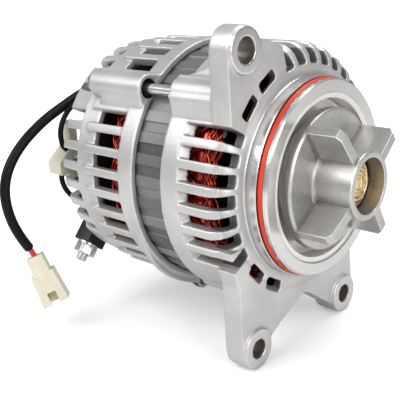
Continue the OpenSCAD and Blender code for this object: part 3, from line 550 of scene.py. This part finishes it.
class Shade:
    """A Principled material with helpers for its node tree."""

    def __init__(self, name, metallic, roughness, coat=0.0):
        self.mat = bpy.data.materials.new(name)
        self.mat.use_nodes = True
        self.tree = self.mat.node_tree
        self.bsdf = self.tree.nodes["Principled BSDF"]
        self.bsdf.inputs["Metallic"].default_value = metallic
        self.bsdf.inputs["Roughness"].default_value = roughness
        self.bsdf.inputs["Coat Weight"].default_value = coat
        self.coord = self.node("ShaderNodeTexCoord").outputs["Object"]
        self.height = None

    def put(self, socket, value):
        """Links a socket to another one, or gives it a value."""
        if isinstance(value, bpy.types.NodeSocket):
            self.tree.links.new(value, socket)
        else:
            socket.default_value = value

    def node(self, kind, **inputs):
        """A new node. An input is named, or is i and its number."""
        made = self.tree.nodes.new(kind)
        for key, value in inputs.items():
            numbered = key[0] == "i" and key[1:].isdigit()
            self.put(made.inputs[int(key[1:])] if numbered else made.inputs[key], value)
        return made

    def noise(self, scale, detail=3.0, coord=None):
        return self.node("ShaderNodeTexNoise", Vector=coord or self.coord, Scale=scale, Detail=detail,
                         Roughness=0.55).outputs["Fac"]

    def combine(self, x, y=0.0):
        return self.node("ShaderNodeCombineXYZ", i0=x, i1=y).outputs[0]

    def split(self):
        made = self.node("ShaderNodeSeparateXYZ", Vector=self.coord)
        return made.outputs[0], made.outputs[1], made.outputs[2]

    def math(self, operation, a, b=0.5, c=0.5):
        made = self.tree.nodes.new("ShaderNodeMath")
        made.operation = operation
        for socket, value in zip(made.inputs, (a, b, c)):
            self.put(socket, value)
        return made.outputs[0]

    def times(self, a, b):
        return self.math("MULTIPLY", a, b)

    def plus(self, a, b):
        return self.math("ADD", a, b)

    def both(self, mask, *others):
        """1 where all the masks are 1."""
        return self.times(mask, self.both(*others)) if others else mask

    def either(self, a, b):
        return self.math("MAXIMUM", a, b)

    def opposite(self, mask):
        return self.math("SUBTRACT", 1.0, mask)

    def above(self, value, limit):
        return self.math("GREATER_THAN", value, limit * MM)

    def below(self, value, limit):
        return self.math("LESS_THAN", value, limit * MM)

    def distance(self, y, z):
        return self.math("SQRT", self.plus(self.times(y, y), self.times(z, z)))

    def near_axis(self, y, z, centre, radius):
        """1 within radius of an axis along X through centre."""
        dy = self.math("SUBTRACT", y, centre[0] * MM)
        dz = self.math("SUBTRACT", z, centre[1] * MM)
        return self.below(self.distance(dy, dz), radius)

    def remap(self, value, low, high):
        """A Map Range node that takes low to 0 and high to 1."""
        made = self.node("ShaderNodeMapRange", Value=value)
        made.inputs["From Min"].default_value = low
        made.inputs["From Max"].default_value = high
        return made

    def band(self, value, low, high):
        """0 below low, 1 above high, smooth between."""
        made = self.remap(value, low * MM, high * MM)
        made.interpolation_type = "SMOOTHSTEP"
        return made.outputs["Result"]

    def two_scales(self, broad, fine):
        return self.plus(self.times(broad, 0.6), self.times(fine, 0.4))

    def tool_marks(self, x, radius, scale):
        """Fine rings left by a turning tool."""
        return self.noise(1.0, 2.0, coord=self.combine(self.times(x, scale), self.times(radius, scale)))

    def ramp(self, fac, stops):
        """Colours between two stops, each (place, colour)."""
        made = self.node("ShaderNodeValToRGB", Fac=fac)
        for element, (place, colour) in zip(made.color_ramp.elements, stops):
            element.position = place
            element.color = (*colour, 1)
        return made.outputs["Color"]

    def mix(self, fac, a, b):
        made = self.tree.nodes.new("ShaderNodeMix")
        made.data_type = "RGBA"
        self.put(made.inputs[0], fac)
        for index, value in ((6, a), (7, b)):
            self.put(made.inputs[index], value if isinstance(value, bpy.types.NodeSocket) else (*value, 1))
        return made.outputs[2]

    def bump(self, height, strength, distance):
        made = self.node("ShaderNodeBump", Strength=strength, Distance=distance, Height=height)
        if self.height is not None:
            self.tree.links.new(self.height, made.inputs["Normal"])
        self.height = made.outputs["Normal"]
        self.tree.links.new(self.height, self.bsdf.inputs["Normal"])

    def soften(self, radius):
        """Rounds every edge in the shading, and gives how near a point lies to an edge, 0 to 1."""
        bevel = self.node("ShaderNodeBevel", Radius=radius * MM)
        bevel.samples = 6
        self.height = bevel.outputs["Normal"]
        self.tree.links.new(self.height, self.bsdf.inputs["Normal"])
        flat = self.node("ShaderNodeNewGeometry").outputs["Normal"]
        dot = self.node("ShaderNodeVectorMath", i0=self.height, i1=flat)
        dot.operation = "DOT_PRODUCT"
        return self.remap(dot.outputs["Value"], 1.0, 0.75).outputs["Result"]

    def crevice(self, distance, power=1.0):
        """1 on open surfaces, towards 0 in narrow corners."""
        made = self.node("ShaderNodeAmbientOcclusion", Distance=distance * MM)
        made.samples = 6
        return self.math("POWER", made.outputs["AO"], power)

    def colour(self, value):
        self.put(self.bsdf.inputs["Base Color"], value)

    def roughness(self, value):
        self.put(self.bsdf.inputs["Roughness"], value)

    def metallic(self, value):
        self.put(self.bsdf.inputs["Metallic"], value)


def mottled(name, dark, light, metallic, roughness, grain, strength, edge=0.3, worn=0.0, specular=0.5,
            crevice_shade=0.0):
    """A surface whose colour, roughness and grain vary a little, with softened and slightly worn edges."""
    s = Shade(name, metallic, roughness)
    s.bsdf.inputs["Specular IOR Level"].default_value = specular
    near_edge = s.soften(edge)
    broad = s.noise(60.0, 4.0)
    fine = s.noise(grain)
    base = s.ramp(s.two_scales(broad, fine), [(0.35, dark), (0.65, light)])
    if worn:
        pale = tuple(min(1.0, c + worn) for c in light)
        base = s.mix(s.times(near_edge, s.math("MULTIPLY_ADD", broad, 0.8, 0.7)), base, pale)
    # Painted shade: narrow corners darken towards a near-black copy of the dark colour
    if crevice_shade:
        base = s.mix(s.crevice(crevice_shade, 1.3), tuple(c * 0.12 for c in dark), base)
    s.colour(base)
    s.roughness(s.math("MULTIPLY_ADD", fine, 0.1, roughness - 0.05))
    s.bump(fine, strength, 0.0002)
    return s.mat


def cast_aluminium():
    """Blasted casting, brighter where it is machined, with painted shade on its inner walls."""
    s = Shade("cast_aluminium", 0.75, 0.42)
    x, y, z = s.split()
    radius = s.distance(y, z)
    surface = s.node("ShaderNodeNewGeometry")
    near_edge = s.remap(surface.outputs["Pointiness"], 0.51, 0.58).outputs["Result"]
    facing = s.node("ShaderNodeSeparateXYZ", Vector=surface.outputs["Normal"]).outputs[0]
    side = s.opposite(s.math("ABSOLUTE", facing))
    fine = s.noise(1800.0)
    rough_tone = s.ramp(s.two_scales(s.noise(45.0, 4.0), fine),
                        [(0.34, (0.52, 0.516, 0.508)), (0.66, (0.68, 0.676, 0.668))])
    # Paler on sharp edges: partly wear, partly a painted highlight along them
    rough_tone = s.mix(s.times(near_edge, 0.6), rough_tone, (0.84, 0.84, 0.835))
    rings = s.tool_marks(x, radius, 4200.0)
    turned_tone = s.ramp(rings, [(0.3, (0.60, 0.598, 0.592)), (0.7, (0.82, 0.818, 0.812))])

    # Where the casting is machined: the spigot, and the face of the ears round it
    spigot = s.both(s.above(x, SPIGOT_FOOT), s.below(radius, SPIGOT_EDGE))
    ear_face = s.both(s.above(x, EAR_PLANE), s.above(radius, SPIGOT_EDGE))
    machined = s.either(spigot, ear_face)

    # Painted shade on the inner walls: inside both housings, in the pockets behind the flange and in the bolt
    # holes
    inner = s.both(s.opposite(s.band(radius, 53.6, 56.6)), s.band(x, -103.5, -101.5),
                   s.opposite(s.band(x, -8.5, -6.0)))
    pockets = s.both(s.below(x, -2.0), s.above(x, -12.0), s.below(radius, 57.0), s.band(radius, 46.2, 47.0))
    inner = s.either(inner, s.times(pockets, s.times(side, 0.85)))
    inner = s.both(inner, s.above(radius, 39.6))
    for centre in BOLT_HOLES:
        inner = s.either(inner, s.both(s.near_axis(y, z, centre, 4.9), side, s.below(x, -50.0)))

    # Walls of the ears' holes, and the recess round the coupler
    bored = 0.0
    for centre, bore in EAR_HOLES:
        bored = s.either(bored, s.both(s.near_axis(y, z, centre, bore + 0.35), side))
    recess = s.both(s.above(x, -12.0), s.below(radius, 39.5), s.below(x, 9.0))

    # Painted shade: narrow corners darken to a dark grey, but little in the recess
    open_face = s.either(s.crevice(3.0), s.times(recess, 0.8))
    shaded = s.mix(open_face, (0.15, 0.148, 0.144), s.mix(machined, rough_tone, turned_tone))
    # Painted light: the recess round the coupler is painted pale and made less metallic, so it looks lit
    shaded = s.mix(recess, shaded, (0.80, 0.765, 0.73))
    # Painted shade: the walls of the ears' holes are painted dark brown, with the turning tool's rings
    shaded = s.mix(bored, shaded, s.ramp(rings, [(0.35, (0.11, 0.094, 0.076)), (0.65, (0.30, 0.265, 0.225))]))
    # Painted shade: the inner walls are painted near black and lose their metal
    s.colour(s.mix(inner, shaded, (0.018, 0.018, 0.018)))
    s.metallic(s.times(s.math("MULTIPLY_ADD", machined, 0.2, 0.75),
                       s.opposite(s.either(inner, s.times(recess, 0.6)))))
    s.roughness(s.math("SUBTRACT", s.math("MULTIPLY_ADD", fine, 0.12, 0.38), s.times(machined, 0.2)))
    s.bump(s.both(fine, s.opposite(machined)), 0.25, 0.00025)
    s.bump(s.both(rings, machined), 0.12, 0.0001)
    return s.mat


def laminated_core():
    """Stacked laminations, a different grey on each land and notch round the ring."""
    s = Shade("laminated_steel", 0.55, 0.42)
    x, y, z = s.split()
    angle = s.times(s.math("ARCTAN2", z, s.times(y, -1.0)), 180 / math.pi)
    step = s.math("FLOOR", s.math("DIVIDE", s.math("SUBTRACT", angle, LAND_START), LAND_PITCH))
    tone = s.node("ShaderNodeTexWhiteNoise", Vector=s.combine(step)).outputs["Value"]
    sheets = s.plus(s.times(s.math("SINE", s.times(x, math.tau / (LAMINATION * MM))), 0.5), 0.5)
    fine = s.noise(900.0)
    scratch = s.noise(1.0, 2.0, coord=s.combine(s.math("MULTIPLY_ADD", x, 700.0, s.times(angle, 0.4)),
                                                s.times(angle, 3.0)))
    mixed = s.plus(s.plus(s.times(s.times(sheets, tone), 0.3), s.times(scratch, 0.2)),
                   s.plus(s.times(tone, 0.4), s.times(fine, 0.2)))
    s.colour(s.ramp(mixed, [(0.15, (0.085, 0.087, 0.09)), (0.85, (0.34, 0.342, 0.345))]))
    s.bump(sheets, 0.5, 0.0002)
    s.bump(fine, 0.2, 0.0002)
    return s.mat


def enamelled_copper():
    """Red enamelled wire, with painted shade darkening it between the wires."""
    s = Shade("enamelled_copper", 0.75, 0.2, coat=0.5)
    fine = s.noise(700.0, 2.0)
    wire = s.ramp(s.two_scales(s.noise(160.0, 2.0), fine),
                  [(0.3, (0.46, 0.016, 0.007)), (0.7, (0.92, 0.10, 0.045))])
    s.colour(s.mix(s.crevice(1.6, 1.6), (0.03, 0.001, 0.001), wire))
    s.bump(fine, 0.2, 0.0002)
    return s.mat


def turned_steel():
    """Steel turned on a lathe."""
    s = Shade("machined_steel", 0.95, 0.3)
    s.soften(0.3)
    x, y, z = s.split()
    rings = s.tool_marks(x, s.distance(y, z), 4000.0)
    s.colour(s.ramp(rings, [(0.3, (0.42, 0.42, 0.43)), (0.7, (0.60, 0.60, 0.61))]))
    s.roughness(s.math("MULTIPLY_ADD", rings, 0.2, 0.22))
    s.bump(rings, 0.15, 0.0001)
    return s.mat


materials = {
    "cast_aluminium": cast_aluminium(),
    "laminated_steel": laminated_core(),
    "enamelled_copper": enamelled_copper(),
    "machined_steel": turned_steel(),
    "zinc_plated_steel": mottled("zinc_plated_steel", (0.55, 0.57, 0.60), (0.80, 0.82, 0.84), 0.95, 0.22,
                                 300.0, 0.1),
    "forged_iron": mottled("forged_iron", (0.012, 0.012, 0.013), (0.04, 0.04, 0.042), 0.4, 0.5, 500.0, 0.3),
    "black_plastic": mottled("black_plastic", (0.003, 0.003, 0.003), (0.009, 0.009, 0.009), 0.0, 0.4, 900.0,
                             0.2, specular=0.35),
    "cream_plastic": mottled("cream_plastic", (0.66, 0.62, 0.48), (0.74, 0.70, 0.58), 0.0, 0.36, 400.0, 0.08,
                             edge=0.5),
    "black_rubber": mottled("black_rubber", (0.002, 0.002, 0.002), (0.006, 0.006, 0.006), 0.0, 0.45, 700.0,
                            0.2, specular=0.16),
    "orange_rubber": mottled("orange_rubber", (0.52, 0.026, 0.007), (0.68, 0.046, 0.010), 0.0, 0.38, 500.0,
                             0.1),
    "red_insulation": mottled("red_insulation", (0.60, 0.008, 0.03), (0.75, 0.016, 0.05), 0.0, 0.32, 500.0,
                              0.08),
    # Brass and coupler steel get painted shade in their narrow corners
    "yellow_brass": mottled("yellow_brass", (0.66, 0.47, 0.23), (0.94, 0.74, 0.43), 0.92, 0.27, 500.0, 0.12,
                            edge=0.2, crevice_shade=2.4),
    "carbon": mottled("carbon", (0.02, 0.02, 0.02), (0.05, 0.05, 0.05), 0.1, 0.5, 1200.0, 0.3),
    "coupler_steel": mottled("coupler_steel", (0.42, 0.41, 0.392), (0.60, 0.588, 0.566), 0.88, 0.35, 1100.0,
                             0.3, edge=0.7, worn=0.4, crevice_shade=2.0),
}
fan_steel = mottled("fan_steel", (0.010, 0.010, 0.011), (0.03, 0.03, 0.032), 0.5, 0.45, 500.0, 0.2)

for name, obj in nodes.items():
    made = fan_steel if name in ("front_fan", "rear_fan") else materials[slot_of[name]]
    if not obj.material_slots:
        obj.data.materials.append(made)
    for entry in obj.material_slots:
        entry.material = made
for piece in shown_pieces():
    if piece.name not in nodes and not piece.data.materials:
        piece.data.materials.append(materials[piece["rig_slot"]])


# Floor, world and lamps
def paper_floor():
    """A pale floor that turns white in the camera's eye, the more so away from the part."""
    bpy.ops.mesh.primitive_plane_add(size=6, location=(0, 0, FLOOR_Z))
    floor = bpy.context.object
    floor.name = "floor"
    s = Shade("paper", 0.0, 0.9)
    s.bsdf.inputs["Base Color"].default_value = (0.80, 0.80, 0.80, 1)
    away = s.node("ShaderNodeVectorMath", i0=s.coord, i1=(-0.04, 0, 0))
    away.operation = "DISTANCE"
    fade = s.remap(away.outputs["Value"], 0.12, 0.45)
    fade.inputs["To Min"].default_value = 0.32
    fade.inputs["To Max"].default_value = 1.0
    seen = s.node("ShaderNodeLightPath").outputs["Is Camera Ray"]
    glow = s.node("ShaderNodeEmission", Color=(1, 1, 1, 1), Strength=s.times(seen, fade.outputs["Result"]))
    both = s.node("ShaderNodeAddShader", i0=s.bsdf.outputs[0], i1=glow.outputs[0])
    s.tree.links.new(both.outputs[0], s.tree.nodes["Material Output"].inputs["Surface"])
    floor.data.materials.append(s.mat)


def studio_world():
    """A white backdrop that lights the part at a lower level than it shows."""
    world = bpy.data.worlds.new("studio")
    bpy.context.scene.world = world
    world.use_nodes = True
    tree = world.node_tree
    background = tree.nodes["Background"]
    background.inputs["Color"].default_value = (1, 1, 1, 1)
    path = tree.nodes.new("ShaderNodeLightPath")
    seen = tree.nodes.new("ShaderNodeMath")
    seen.operation = "MAXIMUM"
    tree.links.new(path.outputs["Is Camera Ray"], seen.inputs[0])
    tree.links.new(path.outputs["Is Transmission Ray"], seen.inputs[1])
    level = tree.nodes.new("ShaderNodeMath")
    level.operation = "MULTIPLY_ADD"
    level.inputs[1].default_value = 0.65
    level.inputs[2].default_value = 0.35
    tree.links.new(seen.outputs[0], level.inputs[0])
    tree.links.new(level.outputs[0], background.inputs["Strength"])


def softbox(name, place, target, size, power):
    lamp = bpy.data.lights.new(name, "AREA")
    lamp.shape = "RECTANGLE"
    lamp.size = size[0]
    lamp.size_y = size[1]
    lamp.energy = power
    obj = link(bpy.data.objects.new(name, lamp))
    obj.location = place
    obj.rotation_euler = (Vector(target) - Vector(place)).to_track_quat("-Z", "Y").to_euler()


paper_floor()
studio_world()
softbox("key", (-0.35, -0.75, 0.75), (-0.05, 0, 0), (0.9, 0.7), 8.8)
softbox("side", (0.75, -0.25, 0.35), (-0.03, 0, 0), (0.4, 0.7), 4.3)
softbox("top", (0.05, 0.35, 0.9), (-0.05, 0, 0), (0.7, 0.5), 5.0)

bpy.context.scene.view_settings.view_transform = "Standard"
